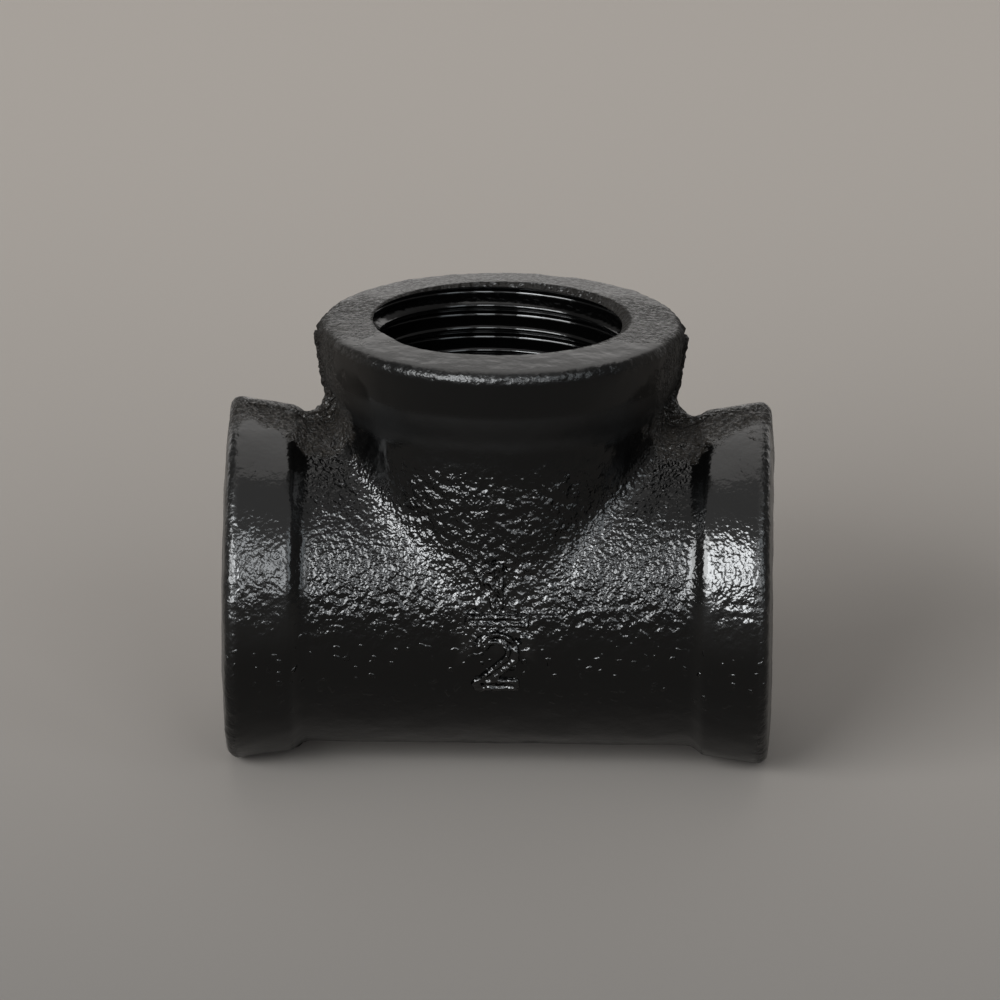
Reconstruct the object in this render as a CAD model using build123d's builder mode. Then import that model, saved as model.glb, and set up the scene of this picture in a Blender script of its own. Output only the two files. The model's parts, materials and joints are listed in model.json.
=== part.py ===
from build123d import *

import os
from math import atan, sqrt, tan

# A malleable-iron pipe tee: a run along X and one branch standing up along +Z, cast in one
# piece. Lengths are in millimetres. The origin is on the floor, under the middle of the run.

# Ports: all three are alike
bore_d = 18.631                 # over the crests of the 1/2 inch thread, 14 turns to the inch
thread_depth = 11.0             # from the face to the end of the threaded wall
mouth_chamfer = 0.6             # 45 degree lead-in
face_fall = 0.35                # how far a face falls back from its mouth to its rim

# Reinforcing collar around each port
collar_d = 28.3
collar_width = 5.3
collar_draft = 0.75             # how much smaller the radius is at the collar's inner edge
rim_round = 0.9                 # between the face and the collar
shoulder_l = 0.9                # sloping step from the collar down to the body
shoulder_round = 0.35
root_fillet = 1.2

# Body and waterway
body_d = 25.3
branch_slack = 0.15             # how much smaller the branch's radius is than the run's
neck_l = 2.35                   # plain body between one arm's side and the next arm's shoulder
valley_fillet = 1.8             # where the branch meets the run
valley_gap = 0.1                # kept between that fillet and the shoulders' root fillets
chamber_d = 20.2                # cored space between the threads

# Parting seam: a low bead around the casting, in the plane of the three axes
seam_height = 0.45
seam_width = 1.0
seam_web_hollow = 0.4           # depth of the hollow in its web's edge, to the edge's length

# The seam is ground off under the two run collars, which leaves flats for the tee to stand on
foot_cut = 0.35

# Raised size mark on the front: a 1 over a 2, with a bar between them
mark_height = 0.35
mark_root = 1.4                 # how far the figures reach down into the wall
mark_stroke = 0.85
bar_l = 4.8
bar_rise = 0.75                 # from the run's axis up to the bar's middle line
figure_gap = 0.55               # clear space between the bar and each figure
one_h = 3.4
one_flag = 1.0
two_h = 4.9
two_w = 3.3
two_bowl_from = 165             # degrees round the bowl of the 2, where its stroke starts
two_bowl_to = -30               # and where it leaves the bowl for the foot

collar_r = collar_d / 2
collar_root_r = collar_r - collar_draft
body_r = body_d / 2
branch_r = body_r - branch_slack
bore_r = bore_d / 2
chamber_r = chamber_d / 2
axis_height = collar_r - foot_cut

# Stations along an arm, from the point where the axes meet
shoulder_start = body_r + neck_l
collar_start = shoulder_start + shoulder_l
port_reach = collar_start + collar_width
rim_reach = port_reach - face_fall

centre = Vector(0, 0, axis_height)
run_plane = Plane(origin=centre, x_dir=(1, 0, 0), z_dir=(0, -1, 0))
branch_plane = Plane(origin=centre, x_dir=(0, 0, 1), z_dir=(0, -1, 0))
run_axis = Axis(centre, (1, 0, 0))
branch_axis = Axis(centre, (0, 0, 1))


def arm_section(body_radius):
    """Half section of one arm of the casting: X runs out to the face, and Y is the radius."""
    rim = (rim_reach, collar_r)
    shoulder = (collar_start, collar_root_r)
    root = (shoulder_start, body_radius)
    with BuildSketch() as section:
        with BuildLine():
            Polyline(
                (0, 0),
                (0, body_radius),
                root,
                shoulder,
                rim,
                (port_reach, bore_r + mouth_chamfer),
                (port_reach, 0),
                close=True,
            )
        make_face()
        for corner, radius in ((rim, rim_round), (shoulder, shoulder_round), (root, root_fillet)):
            fillet(section.vertices().sort_by_distance(corner)[0], radius)
    return section.sketch


def port_section():
    """Half section of the space in one arm: lead-in, threaded wall and cored chamber."""
    thread_end = port_reach - thread_depth
    with BuildSketch() as section:
        with BuildLine():
            Polyline(
                (0, 0),
                (0, chamber_r),
                (thread_end - (chamber_r - bore_r), chamber_r),
                (thread_end, bore_r),
                (port_reach - mouth_chamfer, bore_r),
                (port_reach + mouth_chamfer, bore_r + 2 * mouth_chamfer),
                (port_reach + mouth_chamfer, 0),
                close=True,
            )
        make_face()
    return section.sketch


run_section = arm_section(body_r)
branch_section = arm_section(branch_r)
port_space = port_section()

# Outline of the seam's bead: the casting's own outline, with a hollow web in each valley, and
# cut off where the rims start to round, so that it leaves the faces clear
with BuildSketch(run_plane.offset(seam_width / 2)) as seam_outline:
    web_l = sqrt(2) * (collar_start - collar_root_r)
    seam_reach = rim_reach - rim_round
    with BuildLine():
        web = SagittaArc(
            (collar_start, collar_root_r),
            (collar_root_r, collar_start),
            seam_web_hollow * web_l,
        )
        Polyline(
            (0, -body_r),
            (shoulder_start, -body_r),
            (collar_start, -collar_root_r),
            (rim_reach, -collar_r),
            (rim_reach, collar_r),
            web @ 0,
        )
        Polyline(
            web @ 1,
            (collar_r, rim_reach),
            (0, rim_reach),
            (0, -body_r),
        )
    make_face()
    mirror(about=Plane.YZ)
    offset(amount=seam_height)
    Rectangle(2 * seam_reach, 2 * seam_reach, mode=Mode.INTERSECT)

# The raised figures: straight prisms, cut to a skin that follows the body
with BuildPart() as size_mark:
    with BuildSketch(run_plane.offset(body_r + mark_height)):
        one_foot = bar_rise + mark_stroke / 2 + figure_gap
        two_foot = bar_rise - mark_stroke / 2 - figure_gap - two_h
        half_two = (two_w - mark_stroke) / 2
        with BuildLine():
            Polyline(
                (-one_flag, one_foot + one_h - one_flag),
                (0, one_foot + one_h),
                (0, one_foot),
            )
        trace(line_width=mark_stroke)
        with Locations((0, bar_rise)):
            Rectangle(bar_l, mark_stroke)
        with BuildLine():
            bowl = CenterArc(
                center=(0, two_foot + two_h - mark_stroke / 2 - half_two),
                radius=half_two,
                start_angle=two_bowl_from,
                arc_size=two_bowl_to - two_bowl_from,
            )
            Polyline(
                bowl @ 1,
                (-half_two, two_foot + mark_stroke / 2),
                (half_two, two_foot + mark_stroke / 2),
            )
        trace(line_width=mark_stroke)
    extrude(amount=-(mark_height + mark_root))

with BuildPart() as mark_skin:
    with BuildSketch(Plane.YZ.offset(-port_reach)):
        with Locations((0, axis_height)):
            Circle(body_r + mark_height)
    extrude(amount=2 * port_reach)
    with BuildSketch(Plane.XY.offset(axis_height)):
        Circle(branch_r + mark_height)
    extrude(amount=port_reach)
    add(size_mark.part, mode=Mode.INTERSECT)

with BuildPart() as tee_body:
    # Outside of the casting: the run and the branch
    with BuildSketch(run_plane):
        add(run_section)
        mirror(about=Plane.YZ)
    revolve(axis=run_axis)
    with BuildSketch(branch_plane):
        add(branch_section)
    revolve(axis=branch_axis)

    # The arms meet along the only free-form edges, and the fillet there stops short of the
    # fillets at the feet of the shoulders
    root_turn = atan((collar_root_r - body_r) / shoulder_l)
    valley_room = neck_l - root_fillet * tan(root_turn / 2) - valley_gap
    fillet(tee_body.edges().filter_by(GeomType.BSPLINE), min(valley_fillet, valley_room))

    # Parting seam and raised figures
    extrude(seam_outline.sketch, amount=-seam_width)
    add(mark_skin.part)

    # Waterway: the same space in all three arms
    with BuildSketch(run_plane):
        add(port_space)
        mirror(about=Plane.YZ)
    revolve(axis=run_axis, mode=Mode.SUBTRACT)
    with BuildSketch(branch_plane):
        add(port_space)
    revolve(axis=branch_axis, mode=Mode.SUBTRACT)

    # Flats under the run collars
    with BuildSketch(Plane.XY):
        Rectangle(2 * port_reach, collar_d)
    extrude(amount=-2 * (foot_cut + seam_height), mode=Mode.SUBTRACT)

tee_body.part.label = "tee_body"

os.makedirs("parts", exist_ok=True)
export_step(tee_body.part, "parts/tee_body.step")
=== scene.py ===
import json
from math import atan, atan2, cos, hypot, pi, radians, sin, sqrt, tan

import bmesh
import bpy
from mathutils import Matrix, Vector

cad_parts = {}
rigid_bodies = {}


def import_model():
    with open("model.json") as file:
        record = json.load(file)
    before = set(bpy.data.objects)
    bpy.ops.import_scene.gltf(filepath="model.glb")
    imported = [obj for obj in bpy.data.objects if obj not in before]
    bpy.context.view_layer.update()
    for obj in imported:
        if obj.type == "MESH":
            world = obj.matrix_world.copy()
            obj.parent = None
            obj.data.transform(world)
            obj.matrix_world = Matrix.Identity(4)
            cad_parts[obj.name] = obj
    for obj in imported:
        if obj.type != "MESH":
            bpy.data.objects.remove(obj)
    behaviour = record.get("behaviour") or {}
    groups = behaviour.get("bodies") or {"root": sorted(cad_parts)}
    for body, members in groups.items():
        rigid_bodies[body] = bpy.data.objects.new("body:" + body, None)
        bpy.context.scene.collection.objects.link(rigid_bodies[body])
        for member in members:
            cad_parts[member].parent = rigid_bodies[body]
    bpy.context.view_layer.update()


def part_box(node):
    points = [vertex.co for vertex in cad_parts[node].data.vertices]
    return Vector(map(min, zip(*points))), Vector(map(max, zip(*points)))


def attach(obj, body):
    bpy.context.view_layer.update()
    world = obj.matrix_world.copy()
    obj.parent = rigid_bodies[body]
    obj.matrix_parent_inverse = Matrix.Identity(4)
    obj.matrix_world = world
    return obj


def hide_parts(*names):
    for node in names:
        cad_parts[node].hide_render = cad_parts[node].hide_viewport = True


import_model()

# ------------------------------------------------------------------------------------------------
# The casting's outside. A pipe tee is poured in malleable iron in a two-part sand mould: two arms
# in line and one standing between them, each with a drafted collar round its port.
# ------------------------------------------------------------------------------------------------
MM = 0.001
axis_height = 13.8 * MM
centre = Vector((0, 0, axis_height))
run_radius = 12.65 * MM
branch_radius = 12.5 * MM
ring_corners = 256
touch = 0.01 * MM               # how near a corner counts as lying on a line or a plane
weld = 0.001 * MM               # how near two corners count as one

# Stations along an arm, from the point where the axes meet, each with the radius there
shoulder_start = 15.0 * MM
collar_start = 15.9 * MM
collar_root_radius = 13.4 * MM
rim_reach = 20.85 * MM
collar_radius = 14.15 * MM
port_reach = 21.2 * MM
mouth_radius = 9.9155 * MM
arm_rings = (
    (collar_start, collar_root_radius),
    (rim_reach, collar_radius),
    (port_reach, mouth_radius),
)
# Each turn of the arm's outline that is rounded: its station, its radius there, how far from the
# corner the rounding starts, and its steps
rim_rounding = (rim_reach, collar_radius, 0.8 * MM, 5)
shoulder_rounding = (collar_start, collar_root_radius, 0.12 * MM, 2)
root_fillet = 0.5 * MM
root_steps = 3


def start_on(piece):
    """Makes a piece the only one selected, and the active one."""
    bpy.ops.object.select_all(action="DESELECT")
    piece.select_set(True)
    bpy.context.view_layer.objects.active = piece


def edit(piece):
    start_on(piece)
    bpy.ops.object.mode_set(mode="EDIT")


def leave_edit():
    bpy.ops.object.mode_set(mode="OBJECT")


def pick(kind, wanted):
    """In edit mode, selects only the edges or faces whose every corner passes a test."""
    bpy.ops.mesh.select_mode(type=kind)
    bpy.ops.mesh.select_all(action="DESELECT")
    mesh = bpy.context.object.data
    form = bmesh.from_edit_mesh(mesh)
    for part in {"EDGE": form.edges, "FACE": form.faces}[kind]:
        if all(wanted(corner.co) for corner in part.verts):
            part.select_set(True)
    bmesh.update_edit_mesh(mesh)


def extrude_to(move, stretch=(1, 1, 1)):
    """Extrudes what is selected, moves it, and resizes it about the middle of the tee."""
    bpy.ops.mesh.extrude_region_move(TRANSFORM_OT_translate={"value": move})
    bpy.ops.transform.resize(value=stretch, center_override=centre)


def settle():
    """Puts the active piece's place, turn and size into its mesh."""
    bpy.ops.object.transform_apply(location=True, rotation=True, scale=True)


def modify(piece, kind, **settings):
    """Adds a modifier to a piece, sets it up and applies it."""
    start_on(piece)
    modifier = piece.modifiers.new(kind.lower(), kind)
    for name, value in settings.items():
        setattr(modifier, name, value)
    bpy.ops.object.modifier_apply(modifier=modifier.name)


def combine(piece, tool, operation):
    """Joins a tool to a piece, cuts it away or keeps what both share, and clears the tool."""
    modify(piece, "BOOLEAN", object=tool, operation=operation, solver="MANIFOLD")
    bpy.data.objects.remove(tool)


def copy_of(piece, name):
    start_on(piece)
    bpy.ops.object.duplicate()
    bpy.context.object.name = name
    return bpy.context.object


def arm(name, body_radius):
    """One arm standing up from the middle of the tee, open at its foot."""
    bpy.ops.object.select_all(action="DESELECT")
    bpy.ops.mesh.primitive_circle_add(vertices=ring_corners, radius=body_radius, location=centre)
    piece = bpy.context.object
    piece.name = name
    settle()
    edit(piece)
    bpy.ops.mesh.select_all(action="SELECT")
    extrude_to((0, 0, shoulder_start))
    reach, radius = shoulder_start, body_radius
    for next_reach, next_radius in arm_rings:
        stretch = next_radius / radius
        extrude_to((0, 0, next_reach - reach), (stretch, stretch, 1))
        reach, radius = next_reach, next_radius
    bpy.ops.mesh.edge_face_add()
    root_turn = atan((collar_root_radius - body_radius) / (collar_start - shoulder_start))
    root_rounding = (shoulder_start, body_radius, root_fillet * tan(root_turn / 2), root_steps)
    for reach, radius, offset, steps in (rim_rounding, shoulder_rounding, root_rounding):
        pick("EDGE", lambda co: abs(co.z - axis_height - reach) < touch
             and abs(hypot(co.x, co.y) - radius) < touch)
        bpy.ops.mesh.bevel(offset=offset, segments=steps, affect="EDGES")
    leave_edit()
    return piece


run = arm("Run", run_radius)
bpy.context.scene.cursor.location = centre
bpy.ops.object.origin_set(type="ORIGIN_CURSOR")
run.rotation_euler = (0, pi / 2, 0)
bpy.ops.object.transform_apply(location=False, rotation=True, scale=False)
modify(run, "MIRROR", use_axis=(True, False, False), use_mirror_merge=True,
       merge_threshold=weld)
settle()

branch = arm("Branch", branch_radius)
edit(branch)
pick("EDGE", lambda co: abs(co.z - axis_height) < touch)
bpy.ops.mesh.edge_face_add()
leave_edit()

for piece in (run, branch):
    edit(piece)
    bpy.ops.mesh.select_all(action="SELECT")
    bpy.ops.mesh.normals_make_consistent(inside=False)
    leave_edit()

casting = run
casting.name = "Tee casting"
combine(casting, branch, "UNION")
smooth_outside = copy_of(casting, "Outside before the raised parts")

# ------------------------------------------------------------------------------------------------
# The parting seam. Iron that crept between the halves of the mould left a low ragged bead all
# round the casting, and a web across the corner where each collar faces the branch's.
# ------------------------------------------------------------------------------------------------
seam_height = 0.45 * MM
seam_width = 1.0 * MM
seam_foot_height = 0.18 * MM
seam_foot_margin = 0.5 * MM
seam_to_rim = 0.9 * MM
seam_reach = rim_reach - seam_to_rim
foot_reach = seam_reach + seam_foot_margin
web_from = 11.0 * MM
web_to = 15.88 * MM
web_hollow_at = 14.93 * MM
web_hollow_radius = 1.36 * MM
web_hollow_corners = 48


def block(name, low, high):
    """A box between two corners, measured from the middle of the tee."""
    bpy.ops.object.select_all(action="DESELECT")
    low, high = Vector(low), Vector(high)
    bpy.ops.mesh.primitive_cube_add(size=1, location=centre + (low + high) / 2)
    piece = bpy.context.object
    piece.name = name
    piece.scale = high - low
    settle()
    return piece


def raised(name, tool, height):
    """The skin of the casting, so much higher, wherever it lies inside a tool."""
    skin = copy_of(smooth_outside, name)
    edit(skin)
    bpy.ops.mesh.select_all(action="SELECT")
    bpy.ops.transform.shrink_fatten(value=height)
    leave_edit()
    combine(skin, tool, "INTERSECT")
    return skin


foot_slab = block("Seam foot slab", (-foot_reach, -seam_width, -foot_reach),
                  (foot_reach, seam_width, foot_reach))
combine(casting, raised("Seam foot", foot_slab, seam_foot_height), "UNION")
seam_slab = block("Seam slab", (-seam_reach, -seam_width / 2, -seam_reach),
                  (seam_reach, seam_width / 2, seam_reach))
bead = raised("Seam bead", seam_slab, seam_height)
for side in (1, -1):
    near, far = sorted((side * web_from, side * web_to))
    web = block("Web", (near, -seam_width / 2, web_from), (far, seam_width / 2, web_to))
    bpy.ops.object.select_all(action="DESELECT")
    bpy.ops.mesh.primitive_cylinder_add(
        vertices=web_hollow_corners, radius=web_hollow_radius, depth=2 * seam_width,
        location=centre + Vector((side * web_hollow_at, 0, web_hollow_at)),
        rotation=(pi / 2, 0, 0))
    hollow = bpy.context.object
    settle()
    combine(web, hollow, "DIFFERENCE")
    combine(bead, web, "UNION")

# ------------------------------------------------------------------------------------------------
# The size mark. A 1 over a 2 with a bar between them, cut into the front half of the mould, so
# that the figures stand up from the iron; their edges are soft.
# ------------------------------------------------------------------------------------------------
mark_height = 0.35 * MM
mark_root = 1.4 * MM
stroke = 0.85 * MM
bar_length = 4.8 * MM
bar_rise = 0.75 * MM
figure_gap = 0.55 * MM
one_height = 3.4 * MM
one_flag = 1.0 * MM
two_height = 4.9 * MM
two_width = 3.3 * MM
bowl_from, bowl_to = radians(165), radians(-30)
bowl_steps = 20
end_reach = 0.98                # how far both ends of a straight stroke reach on, to its width
# A stroke's sides rise in steps, each with its width and height; its face is slightly hollow
stroke_steps = ((1.1 * MM, 0.12 * MM), (0.98 * MM, 0.25 * MM), (stroke, mark_height))
hollow_stroke = 0.38 * MM
hollow_height = 0.16 * MM
front = run_radius + 2 * mark_height
back = run_radius - mark_root


def bar(start, end, width):
    """A straight stroke of a figure, from one place on the front to another, cut square."""
    start, end = Vector((start[0], 0, start[1])), Vector((end[0], 0, end[1]))
    middle, along = (start + end) / 2, end - start
    bpy.ops.object.select_all(action="DESELECT")
    bpy.ops.mesh.primitive_cube_add(
        size=1, location=centre + middle - Vector((0, (front + back) / 2, 0)))
    piece = bpy.context.object
    piece.scale = (along.length + width * end_reach, front - back, width)
    piece.rotation_euler = (0, Vector((1, 0)).angle_signed(Vector((along.x, along.z))), 0)
    settle()
    return piece


one_foot = bar_rise + stroke / 2 + figure_gap
one_top = one_foot + one_height
two_foot = bar_rise - stroke / 2 - figure_gap - two_height
half_two = (two_width - stroke) / 2
bowl_middle = Vector((0, 0, two_foot + two_height - stroke / 2 - half_two))
bowl_end = (half_two * cos(bowl_to), bowl_middle.z + half_two * sin(bowl_to))


def strokes(width):
    """The mark's strokes, so wide: the 1, the bar, and the foot and the bowl of the 2."""
    lines = [
        bar((0, one_foot + stroke / 2), (0, one_top - stroke / 2), width),
        bar((0, one_top - stroke / 2), (-one_flag, one_top - one_flag), width),
        bar((-(bar_length - stroke) / 2, bar_rise), ((bar_length - stroke) / 2, bar_rise), width),
        bar(bowl_end, (-half_two, two_foot + stroke / 2), width),
        bar((-half_two, two_foot + stroke / 2), (half_two, two_foot + stroke / 2), width),
    ]
    # The bowl is one cut across the stroke, spun round the bowl's middle
    bpy.ops.object.select_all(action="DESELECT")
    bpy.ops.mesh.primitive_plane_add(
        size=1, location=centre + bowl_middle + Vector((half_two, -(front + back) / 2, 0)))
    bowl = bpy.context.object
    bowl.scale = (width, front - back, 1)
    settle()
    edit(bowl)
    bpy.ops.mesh.select_all(action="SELECT")
    bpy.ops.transform.rotate(value=bowl_to, orient_axis="Y",
                             center_override=centre + bowl_middle)
    bpy.ops.mesh.spin(steps=bowl_steps, angle=bowl_from - bowl_to, axis=(0, 1, 0),
                      center=centre + bowl_middle)
    bpy.ops.mesh.select_all(action="SELECT")
    bpy.ops.mesh.normals_make_consistent(inside=False)
    leave_edit()
    return lines + [bowl]


def figures(name, width, height):
    """All the figures, with strokes so wide, raised so high over the skin."""
    tools = strokes(width)
    piece = raised(name, tools[0], height)
    for tool in tools[1:]:
        combine(piece, raised("Raised stroke", tool, height), "UNION")
    return piece


mark = figures("Size mark", *stroke_steps[0])
for width, height in stroke_steps[1:]:
    combine(mark, figures("Step of the mark", width, height), "UNION")
for tool in strokes(hollow_stroke):
    combine(mark, tool, "DIFFERENCE")
combine(mark, figures("Floor of the hollows", stroke, hollow_height), "UNION")
bpy.data.objects.remove(smooth_outside)

# ------------------------------------------------------------------------------------------------
# The cast skin. Sand leaves the iron pebbled, and rough where the mould parted. The corners
# between the arms run into each other, and the collars come out the smoothest.
# ------------------------------------------------------------------------------------------------
grain = 0.36 * MM
seam_grain = 0.21 * MM
mark_grain = 0.12 * MM

# How often the parts are smoothed
skin_smoothing = 7
valley_smoothing = 45
seam_smoothing = 2
mark_smoothing = 3

# Zones of the skin, from the tee's middle: each fades in from its first value to its second
off_seam_side = (0.8 * MM, 2.2 * MM)
valley_width = (2.2 * MM, 0.9 * MM)
valley_foot = (-1.5 * MM, 0.5 * MM)
neck_foot = (13.6 * MM, 14.6 * MM)
neck_top = (17.4 * MM, 16.4 * MM)
branch_side = (-1 * MM, 1 * MM)
shoulder_foot = (14.4 * MM, 14.9 * MM)
shoulder_top = (16.5 * MM, 16.0 * MM)
under_branch = (13.0 * MM, 12.0 * MM)
collar_side = (14.2 * MM, 15.2 * MM)
underside = (-1 * MM, -5 * MM)
above_run = (-2 * MM, 4 * MM)
seam_spread = (3.4 * MM, 0.8 * MM)
short_of_face = (port_reach - 0.2 * MM, rim_reach - 0.6 * MM)
rim_side = (19.6 * MM, 20.2 * MM)
rim_edge = (12.6 * MM, 13.4 * MM)
outside_branch = (0.2 * MM, 1.2 * MM)
run_upper_half = (0, 3 * MM)
collar_calm = 0.8               # how much less the collars and the underside are pebbled
seam_low_share = 0.25           # how rough the seam is under the run, to the rest of it

# How strong each pattern is, in and out together
swell_depth = 0.16 * MM
pebble_depth = 0.08 * MM
seam_side_depth = 0.55 * MM
rim_depth = 0.16 * MM
bead_crumb_depth = 0.4 * MM
bead_grit_depth = 0.16 * MM
bead_sink = 0.2 * MM
mark_depth = 0.09 * MM


def fade(value, none, full):
    """0 up to one value, 1 from the other, and a straight rise between them."""
    return min(1, max(0, (value - none) / (full - none)))


def weigh(piece, name, weight):
    """A vertex group whose weights come from where each vertex is, from the tee's middle."""
    group = piece.vertex_groups.new(name=name)
    for vertex in piece.data.vertices:
        amount = weight(vertex.co - centre)
        if amount > 0:
            group.add([vertex.index], amount, "REPLACE")
    return name


def by_valley(place):
    """1 along the line where the branch meets the run, and round the foot of its collar."""
    off_line = abs(abs(place.x) - place.z) / sqrt(2)
    line = fade(off_line, *valley_width) * fade(place.z, *valley_foot)
    neck = fade(place.z, *neck_foot) * fade(place.z, *neck_top)
    off_seam = fade(abs(place.y), *off_seam_side)
    return off_seam * max(line, neck * fade(place.z - abs(place.x), *branch_side))


def off_shoulder(place):
    """1 on the skin, falling to nothing on the steps from the run up to its collars."""
    reach = abs(place.x)
    return 1 - (fade(reach, *shoulder_foot) * fade(reach, *shoulder_top)
                * fade(place.z, *under_branch))


def clouds(name, size, detail):
    """A pattern of soft lumps of a size, with so many finer layers."""
    pattern = bpy.data.textures.new(name, "CLOUDS")
    pattern.noise_scale = size
    pattern.noise_depth = detail
    return pattern


def roughen(piece, pattern, strength, group="", middle=0.5):
    """Moves the skin in and out along its normals by a pattern."""
    modify(piece, "DISPLACE", texture=pattern, texture_coords="LOCAL", direction="NORMAL",
           strength=strength, mid_level=middle, vertex_group=group)


def off_collar(place):
    """1 on the body, falling to a little on the collars and on the underside."""
    reach = max(abs(place.x), place.z)
    return ((1 - collar_calm * fade(reach, *collar_side))
            * (1 - collar_calm * fade(place.z, *underside)))


def by_seam(place):
    """1 on the parting seam above the run, fading out over the skin beside it."""
    above = fade(place.z, *above_run)
    off_face = fade(max(abs(place.x), place.z), *short_of_face)
    share = seam_low_share + (1 - seam_low_share) * above
    return fade(abs(place.y), *seam_spread) * share * off_face


def by_rim(place):
    """1 round the outer rim of each port."""
    reach = max(abs(place.x), place.z)
    off_axis = sqrt(max(0, place.length_squared - reach * reach))
    return fade(reach, *rim_side) * fade(off_axis, *rim_edge)


def on_run_top(place):
    """1 on the seam along the top of the run's collars, where it is almost flush."""
    return fade(abs(place.x) - place.z, *outside_branch) * fade(place.z, *run_upper_half)


def remesh(piece, size):
    """Makes a piece anew out of grains of one size."""
    modify(piece, "REMESH", mode="VOXEL", voxel_size=size, adaptivity=0)


def smooth(piece, times, group=""):
    modify(piece, "SMOOTH", factor=0.5, iterations=times, vertex_group=group)


swell = clouds("Swell", 3.2 * MM, 1)
pebbles = clouds("Pebbles", 0.9 * MM, 0)
crumbs = clouds("Crumbs", 0.6 * MM, 2)
grit = clouds("Grit", 0.26 * MM, 1)

remesh(casting, grain)
smooth(casting, skin_smoothing, weigh(casting, "off the shoulders", off_shoulder))
smooth(casting, valley_smoothing, weigh(casting, "valley", by_valley))
roughen(casting, swell, swell_depth)
roughen(casting, pebbles, pebble_depth, weigh(casting, "pebbled", off_collar))
roughen(casting, crumbs, seam_side_depth, weigh(casting, "seam", by_seam))
roughen(casting, crumbs, rim_depth, weigh(casting, "rims", by_rim))

# The seam and the figures have a finer grain of their own
remesh(bead, seam_grain)
smooth(bead, seam_smoothing)
roughen(bead, None, -bead_sink, weigh(bead, "flush", on_run_top), middle=0)
roughen(bead, crumbs, bead_crumb_depth)
roughen(bead, grit, bead_grit_depth)
combine(casting, bead, "UNION")

remesh(mark, mark_grain)
smooth(mark, mark_smoothing)
roughen(mark, grit, mark_depth)
combine(casting, mark, "UNION")

# The casting stands on its collars, and nothing on it reaches past its own size
low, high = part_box("tee_body")
combine(casting, block("Outer limits", low - centre, high - centre), "INTERSECT")

# ------------------------------------------------------------------------------------------------
# The waterway. One T-shaped sand core leaves the chambers in the middle, rough like the outside,
# with soft corners where its limbs meet.
# ------------------------------------------------------------------------------------------------
crest_radius = 9.3155 * MM
thread_depth = 11.0 * MM
chamber_radius = 10.1 * MM
chamber_draft = chamber_radius - crest_radius
thread_end = port_reach - thread_depth
core_tip_radius = crest_radius - 0.1 * MM
core_overlap = 0.5 * MM
core_corners = 96
core_grain = 0.6 * MM
core_smoothing = 8
core_swell_depth = 0.3 * MM
core_crumb_depth = 0.35 * MM


def limb(name, foot):
    """A limb of the sand core, standing on the middle of the tee from a foot height up."""
    bpy.ops.object.select_all(action="DESELECT")
    bpy.ops.mesh.primitive_circle_add(
        vertices=core_corners, radius=chamber_radius, fill_type="NGON",
        location=centre + Vector((0, 0, foot)))
    piece = bpy.context.object
    piece.name = name
    settle()
    edit(piece)
    bpy.ops.mesh.select_all(action="SELECT")
    extrude_to((0, 0, thread_end - chamber_draft - foot))
    taper = core_tip_radius / chamber_radius
    extrude_to((0, 0, chamber_draft), (taper, taper, 1))
    bpy.ops.mesh.select_all(action="SELECT")
    bpy.ops.mesh.normals_make_consistent(inside=False)
    leave_edit()
    return piece


def turn_to(piece, turn):
    """Turns a piece that stands up on the middle of the tee into another arm's place."""
    start_on(piece)
    bpy.context.scene.cursor.location = centre
    bpy.ops.object.origin_set(type="ORIGIN_CURSOR")
    piece.rotation_euler = turn
    settle()
    return piece


arm_turns = ((0, 0, 0), (0, pi / 2, 0), (0, -pi / 2, 0))
core = limb("Core", 0)
for turn in arm_turns[1:]:
    combine(core, turn_to(limb("Core limb", -core_overlap), turn), "UNION")
remesh(core, core_grain)
smooth(core, core_smoothing)
roughen(core, swell, core_swell_depth)
roughen(core, crumbs, core_crumb_depth)
combine(casting, core, "DIFFERENCE")

# ------------------------------------------------------------------------------------------------
# The threads. A tap cuts each port's pipe thread from its mouth inwards, 14 turns to the inch,
# with rounded crests and roots, running out at both ends; the mouth is cut back to lead it in.
# ------------------------------------------------------------------------------------------------
pitch = 1.814 * MM
thread_height = 1.162 * MM
mouth_chamfer = 0.6 * MM
tap_steps = 72
tap_turns = 6
tap_end_depth = -0.36 * MM      # how deep below the face the ridge's outer end is
tap_end_azimuth = radians(350)
tap_fade = 0.33                 # turns over which the ridge sinks away at each end
tap_sunk = 0.05 * MM
edge_angle = radians(42)        # a sharper edge than this is shaded as an edge
sliver = 0.00001 * MM           # an edge no longer than this is closed up

# The plain part of the tap, from inside the chamber up past the mouth
tap_rings = (
    (port_reach - mouth_chamfer, crest_radius),
    (port_reach + mouth_chamfer, mouth_radius + mouth_chamfer),
)
tap_foot = thread_end - chamber_draft
bpy.ops.object.select_all(action="DESELECT")
bpy.ops.mesh.primitive_circle_add(vertices=tap_steps, radius=crest_radius, fill_type="NGON",
                                  location=centre + Vector((0, 0, tap_foot)))
tap = bpy.context.object
tap.name = "Tap"
settle()
edit(tap)
bpy.ops.mesh.select_all(action="SELECT")
reach, radius = tap_foot, crest_radius
for next_reach, next_radius in tap_rings:
    stretch = next_radius / radius
    extrude_to((0, 0, next_reach - reach), (stretch, stretch, 1))
    reach, radius = next_reach, next_radius
bpy.ops.mesh.select_all(action="SELECT")
bpy.ops.mesh.normals_make_consistent(inside=False)
leave_edit()

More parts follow.
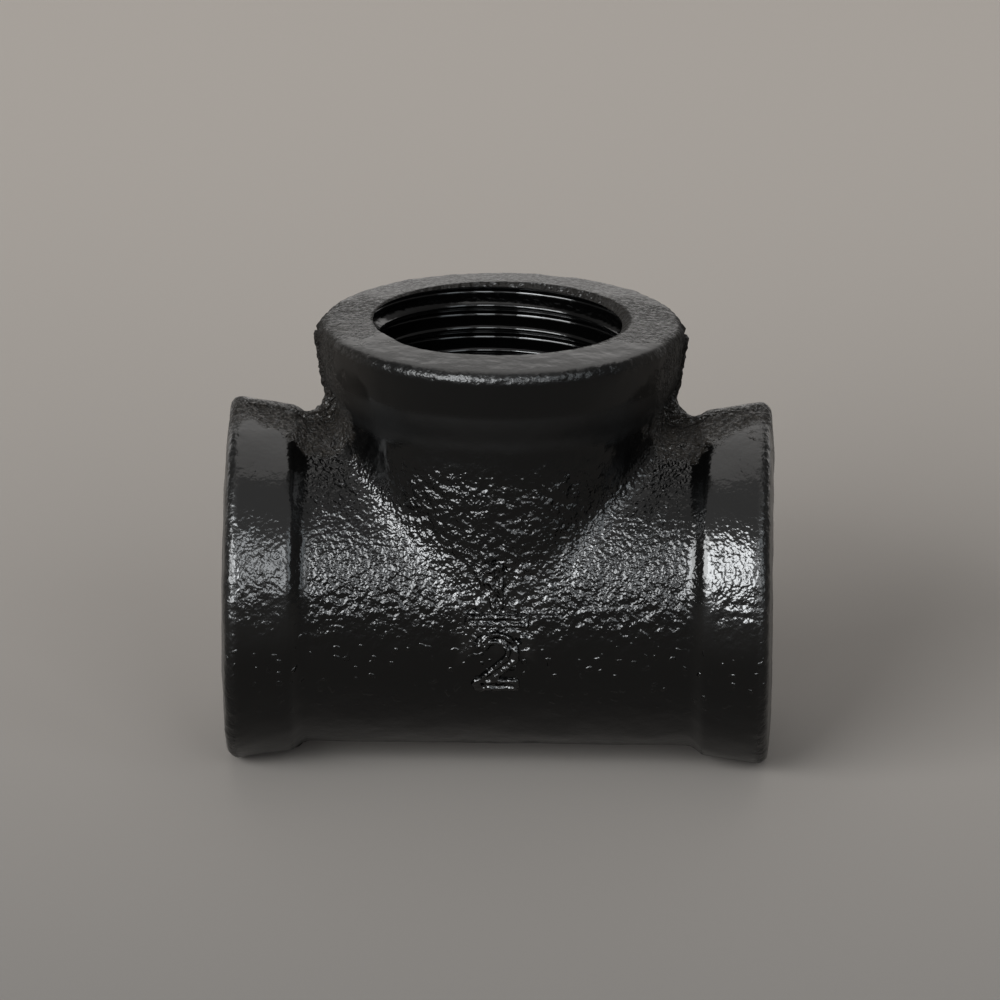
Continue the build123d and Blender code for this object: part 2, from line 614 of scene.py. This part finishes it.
# One tooth of the tap, shaped outwards from its root by how far out and how wide each step is,
# as shares of the thread's height and pitch
tooth_root = 0.35 * MM
tooth_width = 0.955
tooth_steps = ((0.003, 0.955), (0.031, 0.857), (0.115, 0.756), (0.885, 0.244), (0.969, 0.143),
               (1.0, 0.03))
bpy.ops.object.select_all(action="DESELECT")
bpy.ops.mesh.primitive_plane_add(size=1, location=(crest_radius - tooth_root / 2, 0, 0),
                                 rotation=(pi / 2, 0, 0))
ridge = bpy.context.object
ridge.name = "Tap ridge"
ridge.scale = (tooth_root, tooth_width * pitch, 1)
settle()
edit(ridge)
out, width = 0, tooth_width
for next_out, next_width in tooth_steps:
    tip = crest_radius + out * thread_height
    pick("EDGE", lambda co: co.x > tip - weld)
    bpy.ops.mesh.extrude_region_move(
        TRANSFORM_OT_translate={"value": ((next_out - out) * thread_height, 0, 0)})
    bpy.ops.transform.resize(value=(1, 1, next_width / width), center_override=(0, 0, 0))
    out, width = next_out, next_width
for out, width in ((0, 0),) + tooth_steps[:-1]:
    tip = crest_radius + out * thread_height
    pick("EDGE", lambda co: abs(co.x - tip) < weld)
    bpy.ops.mesh.dissolve_edges(use_verts=False)
bpy.ops.mesh.select_all(action="SELECT")
bpy.ops.mesh.delete(type="ONLY_FACE")
leave_edit()

# The tooth is turned into a ridge that climbs a pitch a turn, and sinks away at both ends
modify(ridge, "SCREW", axis="Z", angle=tap_turns * 2 * pi, screw_offset=tap_turns * pitch,
       steps=tap_turns * tap_steps, render_steps=tap_turns * tap_steps,
       use_merge_vertices=False, use_normal_calculate=False, use_smooth_shade=False)
edit(ridge)
bpy.ops.mesh.select_mode(type="EDGE")
bpy.ops.mesh.select_all(action="DESELECT")
bpy.ops.mesh.select_non_manifold(use_wire=False, use_multi_face=False, use_non_contiguous=False,
                                 use_verts=False)
bpy.ops.mesh.fill_holes(sides=0)
bpy.ops.mesh.select_all(action="SELECT")
bpy.ops.mesh.normals_make_consistent(inside=False)
leave_edit()
sunk = crest_radius - tap_sunk
for vertex in ridge.data.vertices:
    co = vertex.co
    azimuth = atan2(co.y, co.x) / (2 * pi)
    turns = round(co.z / pitch - azimuth) + azimuth
    radius = hypot(co.x, co.y)
    if radius > sunk:
        share = fade(tap_turns - turns, 0, tap_fade) * fade(turns, 0, tap_fade)
        stretch = (sunk + (radius - sunk) * share) / radius
        vertex.co = (co.x * stretch, co.y * stretch, co.z)
ridge.rotation_euler = (0, 0, tap_end_azimuth)
ridge.location = centre + Vector((0, 0, port_reach - tap_end_depth - tap_turns * pitch))
start_on(ridge)
settle()
combine(tap, ridge, "UNION")

for turn in arm_turns:
    combine(casting, turn_to(copy_of(tap, "Tap in its port"), turn), "DIFFERENCE")
bpy.data.objects.remove(tap)

# Flakes that the cuts leave loose are cleared away, and slivers closed up
edit(casting)
pick("FACE", lambda co: co.z < touch)
bpy.ops.mesh.select_linked()
bpy.ops.mesh.select_all(action="INVERT")
bpy.ops.mesh.delete(type="VERT")
bpy.ops.mesh.select_all(action="SELECT")
bpy.ops.mesh.dissolve_degenerate(threshold=sliver)
bpy.ops.mesh.select_all(action="SELECT")
bpy.ops.mesh.delete_loose()
leave_edit()
start_on(casting)
bpy.ops.object.shade_smooth_by_angle(angle=edge_angle)

casting.name = "tee_casting"
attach(casting, "root")
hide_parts("tee_body")

# ------------------------------------------------------------------------------------------------
# The paint. The casting is dipped in black enamel, which takes the grain of the skin. It is glassy
# in the threads, thin on the body, dull and dusty on the port faces, and holds grains of burnt
# sand beside the seam. Painted shade darkens the sides of the branch's collar.
# ------------------------------------------------------------------------------------------------
class Wire:
    """A socket of a material's node tree; maths on it adds Math nodes."""

    def __init__(self, tree, socket=None):
        self.tree, self.socket = tree, socket

    def node(self, kind, settings, inputs, output=0):
        """Adds a node, sets it up, fills its sockets with values or wires, and gives an output."""
        made = self.tree.nodes.new(kind)
        for name, value in settings.items():
            setattr(made, name, value)
        for name, value in inputs.items():
            if isinstance(value, Wire):
                self.tree.links.new(value.socket, made.inputs[name])
            else:
                made.inputs[name].default_value = value
        return Wire(self.tree, made.outputs[output])

    def maths(self, operation, *values):
        return self.node("ShaderNodeMath", {"operation": operation}, dict(enumerate(values)))

    def __add__(self, other):
        return self.maths("ADD", self, other)

    def __sub__(self, other):
        return self.maths("SUBTRACT", self, other)

    def __rsub__(self, other):
        return self.maths("SUBTRACT", other, self)

    def __mul__(self, other):
        return self.maths("MULTIPLY", self, other)

    def __abs__(self):
        return self.maths("ABSOLUTE", self)

    __radd__, __rmul__ = __add__, __mul__

    def root(self):
        return self.maths("SQRT", self.larger(0))

    def larger(self, other):
        return self.maths("MAXIMUM", self, other)

    def smaller(self, other):
        return self.maths("MINIMUM", self, other)

    def rise(self, start, end):
        """0 before a start, 1 after an end, and a soft rise between them."""
        return self.node("ShaderNodeMapRange", {"interpolation_type": "SMOOTHSTEP"},
                         {"Value": self, "From Min": start, "From Max": end})

    def axes(self):
        """A place's X, Y and Z."""
        split = self.node("ShaderNodeSeparateXYZ", {}, {"Vector": self}).socket.node
        return [Wire(self.tree, split.outputs[axis]) for axis in "XYZ"]

    def colour(self, none, full):
        """From one colour to another as the wire goes from 0 to 1."""
        share, first, second, result = 0, 6, 7, 2
        return self.node("ShaderNodeMix", {"data_type": "RGBA"},
                         {share: self, first: none, second: full}, result)

    def shader(self, none, full):
        """From one shader to another as the wire goes from 0 to 1."""
        share, first, second = 0, 1, 2
        return self.node("ShaderNodeMixShader", {}, {share: self, first: none, second: full})

    def bump(self):
        """Normals for a surface that stands up by the wire's value, in metres."""
        return self.node("ShaderNodeBump", {}, {"Height": self, "Distance": 1.0, "Strength": 1.0},
                         "Normal")


def new_paint(name):
    """A material, the place on the piece as a wire, and its shader."""
    material = bpy.data.materials.new(name)
    material.use_nodes = True
    tree = material.node_tree
    place = Wire(tree).node("ShaderNodeTexCoord", {}, {}, "Object")
    return material, place, tree.nodes["Principled BSDF"]


def noise(place, size, detail=2.0, roughness=0.5):
    """A noise from 0 to 1 whose lumps are about so large."""
    return place.node("ShaderNodeTexNoise", {}, {
        "Vector": place, "Scale": 1 / size, "Detail": detail, "Roughness": roughness}, "Fac")


def feed(shader, **wires):
    for name, wire in wires.items():
        wire.tree.links.new(wire.socket, shader.inputs[name.replace("_", " ")])


def total(start, shares):
    """A start value with each share of a wire added to it."""
    for share, wire in shares:
        start = start + share * wire
    return start


skin, place, shader = new_paint("Black enamel on cast iron")
x, y, z = place.axes()
z = z - axis_height
reach = abs(x).larger(z)
off_axis = (x * x + y * y + z * z - reach * reach).root()

# The zones of a port, and the branch's share of the tee: each fades in between two values
body_end = (14.8 * MM, 16.2 * MM)
rim_start = (19.7 * MM, 20.3 * MM)
mouth_wall = (9.85 * MM, 10.15 * MM)
mouth_start = (20.0 * MM, 20.4 * MM)
face_start = (20.6 * MM, 20.9 * MM)
branch_start = (0.5 * MM, 2.5 * MM)
off_body = reach.rise(*body_end)
in_mouth = (1 - off_axis.rise(*mouth_wall)) * reach.rise(*mouth_start)
on_face = reach.rise(*face_start) * (1 - in_mouth)
off_face = 1 - on_face
on_rim = reach.rise(*rim_start) * off_face
on_branch = (z - abs(x)).rise(*branch_start)
on_run = 1 - on_branch

# The ragged band of rough skin beside the seam, wider on the branch and near the tee's middle
rag_size = 1.8 * MM
rag_depth = 9.0 * MM
band_side = (1.4 * MM, 4.0 * MM)
band_inward = (14.0 * MM, 20.0 * MM)
band_above = (-2.0 * MM, 3.0 * MM)
wider_on_branch = 2.4 * MM
wider_on_run = 1.8 * MM
band_low_share = 0.3
ragged = (noise(place, rag_size, detail=3.0, roughness=0.6) - 0.5) * rag_depth
wider = on_branch * wider_on_branch + on_run * (1 - reach.rise(*band_inward)) * wider_on_run
near_seam = ((1 - (abs(y) + ragged - wider).rise(*band_side))
             * (band_low_share + (1 - band_low_share) * z.rise(*band_above)))

# Where the skin is smoother: the branch's flanks and neck, the run's lower half, the tops of its
# collars, the shoulders and round the size mark
flank_side = (5.5 * MM, 8.5 * MM)
neck_height = (10.5 * MM, 14.0 * MM)
lower_half = (-3.0 * MM, 1.5 * MM)
top_height = (8.0 * MM, 10.0 * MM)
shoulder_in = (13.9 * MM, 14.9 * MM)
shoulder_out = (16.2 * MM, 16.7 * MM)
mark_side = (2.2 * MM, 3.4 * MM)
mark_top = (4.6 * MM, 6.0 * MM)
mark_front = (-8.0 * MM, -6.0 * MM)
flanks = on_branch * abs(x).rise(*flank_side)
neck = on_branch * z.rise(*neck_height)
foot = 1 - z.rise(*lower_half)
tops = on_run * z.rise(*top_height) * off_body
shoulders = reach.rise(*shoulder_in) * (1 - reach.rise(*shoulder_out))
round_mark = ((1 - abs(x).rise(*mark_side)) * (1 - z.rise(*mark_top))
              * (1 - y.rise(*mark_front)))
patch_size = 3.0 * MM
patch_least, patch_more = 0.4, 1.2
smoother = ((0.55, off_body), (0.75, flanks), (0.85, neck), (0.9, foot), (0.7, tops),
            (0.6, shoulders), (0.15, round_mark))
pebbled = patch_least + patch_more * noise(place, patch_size, detail=1.0)
for share, zone in smoother:
    pebbled = pebbled * (1 - share * zone)

# On the raised strokes of the size mark themselves
mark_skin = (0.1 * MM, 0.22 * MM)
over_skin = ((y * y + z * z).root() - run_radius).larger((x * x + y * y).root() - branch_radius)
on_mark = over_skin.rise(*mark_skin) * round_mark

# Patterns, from coarse to fine, turned so that they don't line up with the tee
pattern_turn = (0.6, 0.8, 0.4)
speck_range = (0.38, 0.5)
pimple_range = (0.66, 0.78)
pimple_height = (5.0 * MM, 11.0 * MM)
turned = place.node("ShaderNodeVectorRotate", {"rotation_type": "EULER_XYZ"}, {
    "Vector": place, "Rotation": pattern_turn})
blotches = noise(turned, 1.4 * MM, detail=2.0)
blobs = noise(turned, 0.7 * MM, detail=0.0) - 0.5
lumps = noise(turned, 0.55 * MM, detail=1.0) - 0.5
sand = noise(turned, 0.42 * MM, detail=1.5, roughness=0.6) - 0.5
grit = noise(turned, 0.22 * MM, detail=1.0) - 0.5
specks = noise(turned, 0.3 * MM, detail=2.0, roughness=0.7).rise(*speck_range)
pimples = (noise(turned, 0.6 * MM, detail=0.0).rise(*pimple_range) * foot
           * (z + axis_height).rise(*pimple_height))

# The far half of each face is sandy, and the upper half of the run is less coarse than the rest
face_far_half = (-4.0 * MM, 4.0 * MM)
run_upper_side = (2.0 * MM, 5.0 * MM)
sandy = on_face * y.rise(*face_far_half)
coarse = on_branch + on_run * (1 - z.rise(*run_upper_side))

# How high each pattern stands in each zone, in millimetres
height = total(0, (
    (0.2, sand * pebbled), (0.2, blobs * coarse * pebbled),
    (0.16, sand * on_mark), (0.3, blobs * on_mark),
    (0.2, grit * near_seam), (0.04, grit * on_rim), (0.005, grit * on_face), (0.08, grit * sandy),
    (0.4, lumps * near_seam), (0.12, lumps * on_rim), (0.35, lumps * in_mouth),
    (0.015, lumps * on_face), (0.08, (blotches - 0.5) * on_face),
    (0.08, pimples), (0.1, (specks - 0.5) * near_seam)))
bump = (height * MM).bump()

# Colour and gloss: soot-black paint, brownish dirt beside the seam and grey dust on the faces
enamel_ior = 1.52
black = (0.0006, 0.0006, 0.0006, 1)
dirt_colour = (0.016, 0.013, 0.01, 1)
dust_colour = (0.03, 0.0275, 0.025, 1)
dirt_cover, dust_cover = 0.8, 0.7
dust_least, dust_more = 0.4, 0.9
dust_range = (0.3, 0.7)
paler_to_back = (-14.0 * MM, 2.0 * MM)
sand_cleaner = 0.7              # how much less dust lies between the grains of the sandy half
dull_size = 1.7 * MM
dull_least = 0.1
under_collar = (13.6 * MM, 14.8 * MM)
on_collar = (16.8 * MM, 17.6 * MM)
# The grey on each face is paler towards the back and fades out towards the front
dusty = (on_face * (1 - sand_cleaner * sandy * (1 - specks))
         * (dust_least + dust_more * blotches.rise(*dust_range)) * y.rise(*paler_to_back))
dirty = near_seam * off_face * specks
neck_ring = on_branch * z.rise(*under_collar) * (1 - z.rise(*on_collar))
dull = total(dull_least, (
    (0.09, noise(place, dull_size)), (0.2, near_seam * off_face), (0.16, on_rim),
    (0.12, on_face), (0.1, on_face * blotches), (0.3, neck_ring)))
base = (dusty * dust_cover).colour((dirty * dirt_cover).colour(black, dirt_colour), dust_colour)
shader.inputs["IOR"].default_value = enamel_ior
feed(shader, Base_Color=base, Roughness=dull, Normal=bump)

# Where the paint is thin it shines less, except on the mark, in the valleys and on the run's
# collars
thin = place.node("ShaderNodeBsdfPrincipled", {}, {
    "Base Color": black, "Roughness": 0.5, "Specular IOR Level": 0.0}, "BSDF")
worn_share = 0.33
valley_side = (0.8 * MM, 3.0 * MM)
worn = (worn_share * abs(abs(x) - z).rise(*valley_side) * off_face
        * (1 - on_mark) * (1 - off_body * on_run * (1 - foot)))

# Grains of burnt sand, held in the paint beside the seam and on the far half of the faces. The
# same dull crust also serves as painted shade on the sides of the branch's collar.
crust_and_shade = place.node("ShaderNodeBsdfPrincipled", {}, {
    "Base Color": (0.0075, 0.0062, 0.005, 1), "Roughness": 0.75, "Specular IOR Level": 0.15,
    "Normal": bump}, "BSDF")
grain_range = (0.42, 0.56)
shaded_flank_reach = (8.5 * MM, 12.0 * MM)
crust_least, crust_more, crust_and_shade_most = 0.1, 0.8, 0.92
face_crust_loss = 0.6
grains = noise(turned, 0.34 * MM, detail=2.0, roughness=0.65).rise(*grain_range)
# Painted shade: the sides of the branch's collar are darkened with the dull crust
painted_shade_on_flanks = on_branch * off_body * off_face * abs(x).rise(*shaded_flank_reach)
crust_and_shade_share = total(
    near_seam * (1 - face_crust_loss * on_face) * (crust_least + crust_more * grains),
    ((0.6, painted_shade_on_flanks), (0.35, sandy * grains), (0.45, in_mouth))).smaller(crust_and_shade_most)
surface = crust_and_shade_share.shader(worn.shader(Wire(place.tree, shader.outputs["BSDF"]), thin), crust_and_shade)
feed(place.tree.nodes["Material Output"], Surface=surface)

# Inside the bores the paint has run smooth
bore_ior = 1.47
run_size, run_depth = 0.9 * MM, 0.03 * MM
gloss_size, gloss_least, gloss_more = 2.5 * MM, 0.08, 0.08
bore, place, shader = new_paint("Black enamel in the bores")
shader.inputs["IOR"].default_value = bore_ior
shader.inputs["Base Color"].default_value = (0.0005, 0.0005, 0.0005, 1)
feed(shader, Roughness=gloss_least + gloss_more * noise(place, gloss_size),
     Normal=(noise(place, run_size, detail=1.0) * run_depth).bump())

casting.data.materials.clear()
casting.data.materials.append(skin)
casting.data.materials.append(bore)
inside_radius = 10.9 * MM
inside_reach = port_reach - mouth_chamfer - touch
edit(casting)
pick("FACE", lambda co: hypot(co.y, co.z - axis_height) < inside_radius
     and abs(co.x) < inside_reach
     or hypot(co.x, co.y) < inside_radius and 0 < co.z - axis_height < inside_reach)
casting.active_material_index = 1
bpy.ops.object.material_slot_assign()
leave_edit()

# ------------------------------------------------------------------------------------------------
# The studio. A pale floor with painted shade that darkens it towards the front, soft lamps round
# the tee, and a camera with a long lens, looking down on it a little from the front.
# ------------------------------------------------------------------------------------------------
floor_size = 8
painted_shade_ramp = (-0.2, 0.25)
painted_shade_front_colour = (0.115, 0.11, 0.104, 1)
back_colour = (0.315, 0.287, 0.261, 1)
bpy.ops.object.select_all(action="DESELECT")
bpy.ops.mesh.primitive_plane_add(size=floor_size, location=(0, 0, 0))
floor = bpy.context.object
floor.name = "Floor"
floor_paint, floor_place, floor_shader = new_paint("Pale floor")
backward = floor_place.axes()[1]
# Painted shade: the floor's colour is darker towards the front, standing for less light there
feed(floor_shader, Base_Color=backward.rise(*painted_shade_ramp).colour(painted_shade_front_colour, back_colour))
floor_shader.inputs["Roughness"].default_value = 0.9
floor_shader.inputs["Specular IOR Level"].default_value = 0.1
floor.data.materials.append(floor_paint)

world = bpy.data.worlds.new("Studio")
bpy.context.scene.world = world
world.use_nodes = True
background = world.node_tree.nodes["Background"]
background.inputs["Color"].default_value = (0.17, 0.166, 0.162, 1)
background.inputs["Strength"].default_value = 1.0

lamp_distance = 1.6
# Each lamp as it is seen from the tee: its name, azimuth, elevation, width and height in degrees,
# its radiance and its colour
lamps = (
    ("Key softbox", -23, 22, 18, 28, 19, (0.95, 0.98, 1)),
    ("Fill softbox", 18, 24, 16, 28, 6.9, (0.93, 0.97, 1)),
    ("Middle softbox", -3, 27, 9, 22, 1.9, (0.95, 0.98, 1)),
    ("Wide panel", -2, 43, 96, 84, 0.4, (1, 1, 1)),
    ("Left softbox", -47, 25, 26, 26, 12, (0.97, 0.99, 1)),
    ("Right softbox", 46, 26, 16, 34, 2.6, (0.85, 0.94, 1)),
    ("Back softbox", -175, 11, 120, 30, 0.92, (1, 0.98, 0.96)),
    ("Top softbox", 180, 64, 40, 60, 1.0, (1, 0.98, 0.96)),
)
for name, azimuth, elevation, width, height, radiance, colour in lamps:
    turn, lift = radians(azimuth), radians(elevation)
    spot = centre + lamp_distance * Vector(
        (sin(turn) * cos(lift), -cos(turn) * cos(lift), sin(lift)))
    bpy.ops.object.select_all(action="DESELECT")
    bpy.ops.object.light_add(type="AREA", location=spot)
    lamp = bpy.context.object
    lamp.name = name
    lamp.rotation_euler = (centre - spot).to_track_quat("-Z", "Y").to_euler()
    lamp.data.shape = "RECTANGLE"
    lamp.data.size = 2 * lamp_distance * tan(radians(width / 2))
    lamp.data.size_y = 2 * lamp_distance * tan(radians(height / 2))
    lamp.data.energy = radiance * pi * lamp.data.size * lamp.data.size_y
    lamp.data.color = colour

camera_azimuth, camera_elevation, camera_roll = radians(-0.88), radians(17.3), radians(0.44)
camera_distance = 1067 * MM
picture_pixels = 1000
axis_pixel = (499.4, 579.8)
pixels_per_mm = 12.90
ahead = Vector((sin(camera_azimuth) * cos(camera_elevation),
                cos(camera_azimuth) * cos(camera_elevation), -sin(camera_elevation)))
level_right = Vector((cos(camera_azimuth), -sin(camera_azimuth), 0))
level_up = level_right.cross(ahead)
right = cos(camera_roll) * level_right + sin(camera_roll) * level_up
up = cos(camera_roll) * level_up - sin(camera_roll) * level_right
aside = (axis_pixel[0] - picture_pixels / 2) / pixels_per_mm * MM
above = (picture_pixels / 2 - axis_pixel[1]) / pixels_per_mm * MM
spot = centre - camera_distance * ahead - aside * right - above * up
bpy.ops.object.select_all(action="DESELECT")
bpy.ops.object.camera_add(location=spot)
camera = bpy.context.object
camera.rotation_euler = Matrix((right, up, -ahead)).transposed().to_euler()
camera.data.lens = (pixels_per_mm / MM * camera_distance / picture_pixels
                    * camera.data.sensor_width)
bpy.context.scene.camera = camera
bpy.context.scene.view_settings.view_transform = "Standard"
